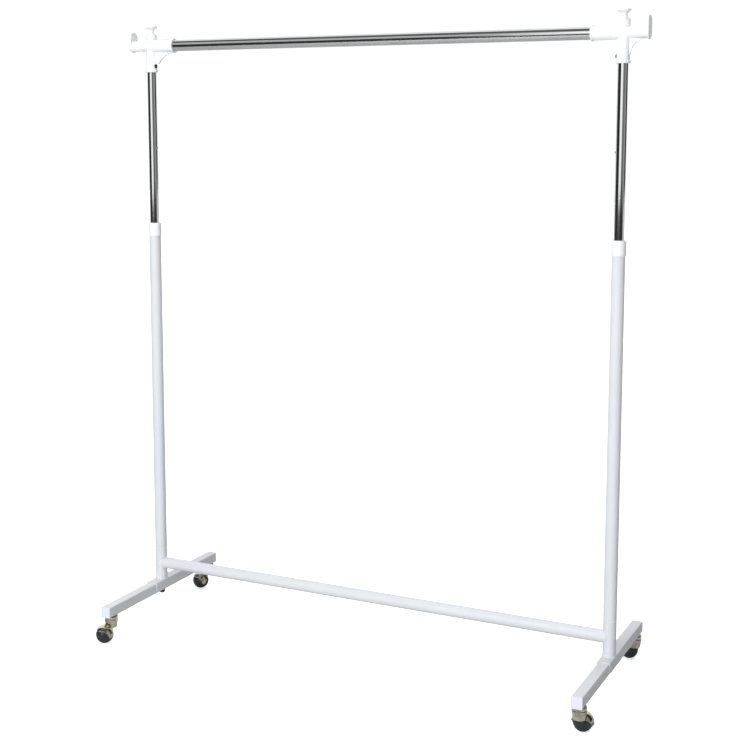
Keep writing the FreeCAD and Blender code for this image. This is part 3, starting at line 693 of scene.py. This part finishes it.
class MakeCapSeams(bpy.types.Operator):
    """Raise the thin lip round each foot where its end cap meets the tube"""

    bl_idname = "clothes_rack.make_cap_seams"
    bl_label = "Cap seams"

    def execute(self, context):
        radius = context.scene.rack_detail.seam_radius
        for corner in CASTERS:
            side, end = corner.split("_")
            tube_low, tube_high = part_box(f"{side}_foot_tube")
            seam = tube_low.y if end == "front" else tube_high.y
            centre = Vector(((tube_low.x + tube_high.x) / 2, seam, (tube_low.z + tube_high.z) / 2))
            half = (tube_high.z - tube_low.z) / 2
            path = []
            for quarter in range(4):
                for step in range(9):
                    a = math.radians(90 * quarter + 90 * step / 8)
                    turn = math.radians(90 * quarter + 45)
                    across = math.copysign(half - FOOT_CORNER, math.cos(turn))
                    rise = math.copysign(half - FOOT_CORNER, math.sin(turn))
                    path.append(centre + Vector((across + FOOT_CORNER * math.cos(a), 0,
                                                 rise + FOOT_CORNER * math.sin(a))))
            bm = bmesh.new()
            bead(bm, path, radius)
            mesh_piece(f"{corner}_cap_seam", bm, "cap_white", "base")
        return {"FINISHED"}


class MakeHoodRims(bpy.types.Operator):
    """Roll a rim along both open edges of each caster hood"""

    bl_idname = "clothes_rack.make_hood_rims"
    bl_label = "Hood rims"

    def execute(self, context):
        thick = context.scene.rack_detail.rim_radius
        for corner in CASTERS:
            axle_low, axle_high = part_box(f"{corner}_axle")
            wheel = (axle_low + axle_high) / 2
            stem = middle(f"{corner}_caster_stem")
            trail = Vector((wheel.x - stem.x, wheel.y - stem.y, 0)).normalized()
            along = Vector((-trail.y, trail.x, 0))
            bm = bmesh.new()
            for way, spread in ((1, HOOD_FRONT_SPREAD), (-1, HOOD_BACK_SPREAD)):
                path = []
                for out, across, up in hood_edge(spread):
                    path.append(wheel + way * out * trail + across * along + Vector((0, 0, up)))
                bead(bm, path, thick, closed=False)
            mesh_piece(f"{corner}_hood_rim", bm, "nickel_plate", f"{corner}_swivel")
        return {"FINISHED"}


class MakeKnobMarks(bpy.types.Operator):
    """Leave the small round gate mark of the mould on top of each knob"""

    bl_idname = "clothes_rack.make_knob_marks"
    bl_label = "Knob marks"

    def execute(self, context):
        for side in SIDES:
            low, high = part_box(f"{side}_bracket")
            post = middle(f"{side}_inner_post")
            centre = Vector((post.x, post.y, high.z))
            profile = [(3.4 * MM, -0.3 * MM), (3.4 * MM, 0.12 * MM), (3.7 * MM, 0.3 * MM),
                       (4.3 * MM, 0.3 * MM), (4.6 * MM, 0.12 * MM), (4.6 * MM, -0.3 * MM)]
            bm = bmesh.new()
            turned(bm, profile, 64, centre)
            mesh_piece(f"{side}_knob_mark", bm, "white_plastic", "upper_frame")
        return {"FINISHED"}


class MakeStage(bpy.types.Operator):
    """Lay the floor, hang the soft boxes and set up the camera"""

    bl_idname = "clothes_rack.make_stage"
    bl_label = "Studio"

    def soft_box(self, name, place, target, width, height, power):
        light = bpy.data.lights.new(name, "AREA")
        light.color = SOFT_BOX_TINT
        light.shape = "RECTANGLE"
        light.size = width
        light.size_y = height
        light.energy = power
        lamp = bpy.data.objects.new(name, light)
        bpy.context.scene.collection.objects.link(lamp)
        lamp.location = place
        lamp.rotation_euler = (Vector(target) - Vector(place)).to_track_quat("-Z", "Y").to_euler()
        lamp.visible_camera = False
        lamp.visible_glossy = False

    def world(self, forward, right):
        """Pure white behind the rack; reflections see a studio of soft panels in a dark room."""
        world = bpy.data.worlds.new("studio")
        world.use_nodes = True
        tree = world.node_tree
        tree.nodes.clear()
        way = add(tree, "TexCoord").outputs["Generated"]
        ahead = add(tree, "VectorMath", {0: way, 1: -forward}, operation="DOT_PRODUCT").outputs["Value"]
        aside = add(tree, "VectorMath", {0: way, 1: right}, operation="DOT_PRODUCT").outputs["Value"]
        azimuth = maths(tree, "ARCTAN2", aside, ahead)
        elevation = maths(tree, "ARCSINE", add(tree, "SeparateXYZ", {0: way}).outputs["Z"])
        total = remap(tree, maths(tree, "ABSOLUTE", azimuth), 2.0, 2.25, ROOM_GLOW, BACKDROP_GLOW)
        for left_edge, right_edge, low_edge, high_edge, glow in PANELS:
            across = band(tree, azimuth, math.radians(left_edge), math.radians(right_edge), 0.05)
            upward = band(tree, elevation, math.radians(low_edge), math.radians(high_edge), 0.06)
            lit = maths(tree, "MULTIPLY", across, upward)
            total = maths(tree, "MULTIPLY_ADD", lit, glow, total)
        seen = add(tree, "Background", {"Color": (1.0, 1.0, 1.0, 1.0), "Strength": 1.05})
        felt = add(tree, "Background", {"Color": STUDIO_TINT, "Strength": total})
        camera_ray = add(tree, "LightPath").outputs["Is Camera Ray"]
        mix = add(tree, "MixShader", {0: camera_ray, 1: felt.outputs[0], 2: seen.outputs[0]})
        output = tree.nodes.new("ShaderNodeOutputWorld")
        tree.links.new(mix.outputs[0], output.inputs["Surface"])
        bpy.context.scene.world = world

    def execute(self, context):
        stage = context.scene.rack_stage
        bm = bmesh.new()
        half = stage.floor_size / 2
        corners = ((-half, -half, 0), (half, -half, 0), (half, half, 0), (-half, half, 0))
        bm.faces.new([bm.verts.new(corner) for corner in corners])
        mesh = bpy.data.meshes.new("floor")
        bm.to_mesh(mesh)
        bm.free()
        floor = bpy.data.objects.new("floor", mesh)
        context.scene.collection.objects.link(floor)
        floor.data.materials.append(floor_paint(stage))

        low, high = CAD_BOX
        target = (low + high) / 2
        turn, tilt = stage.camera_turn, stage.camera_tilt
        forward = Vector((-math.sin(turn), math.cos(turn), 0))
        right = Vector((math.cos(turn), math.sin(turn), 0))
        up = Vector((0, 0, 1))
        for name, beyond, aside, above, width, height in SOFT_BOXES:
            place = target + beyond * forward + aside * right + above * up
            self.soft_box(f"{name}_box", place, target, width, height, getattr(stage, f"{name}_power"))
        self.world(forward, right)

        camera = bpy.data.cameras.new("camera")
        camera.lens = stage.lens
        camera.sensor_width = 36.0
        camera.shift_x, camera.shift_y = stage.shift
        camera.clip_end = 100.0
        eye = bpy.data.objects.new("camera", camera)
        context.scene.collection.objects.link(eye)
        eye.location = stage.camera_place
        eye.rotation_euler = (math.pi / 2 - tilt, 0, turn)
        context.scene.camera = eye
        context.scene.view_settings.view_transform = "Standard"
        context.scene.view_settings.look = "None"
        return {"FINISHED"}


STEPS = (MakeFinishes, MakeWelds, MakeJointRings, MakeCapSeams, MakeHoodRims, MakeKnobMarks, MakeStage)
GROUPS = {"rack_finish": RackFinish, "rack_detail": RackDetail, "rack_stage": RackStage}


class RackPanel(bpy.types.Panel):
    """Lists the rack's building steps in the sidebar"""

    bl_idname = "VIEW3D_PT_clothes_rack"
    bl_label = "Clothes Rack"
    bl_space_type = "VIEW_3D"
    bl_region_type = "UI"
    bl_category = "Clothes Rack"

    def draw(self, context):
        for step in STEPS:
            self.layout.operator(step.bl_idname)


def register():
    for name, group in GROUPS.items():
        bpy.utils.register_class(group)
        setattr(bpy.types.Scene, name, PointerProperty(type=group))
    for step in STEPS:
        bpy.utils.register_class(step)
    bpy.utils.register_class(RackPanel)


def unregister():
    bpy.utils.unregister_class(RackPanel)
    for step in reversed(STEPS):
        bpy.utils.unregister_class(step)
    for name, group in GROUPS.items():
        delattr(bpy.types.Scene, name)
        bpy.utils.unregister_class(group)


def main():
    register()
    for step in STEPS:
        family, action = step.bl_idname.split(".")
        getattr(getattr(bpy.ops, family), action)()


if __name__ == "__main__":
    main()
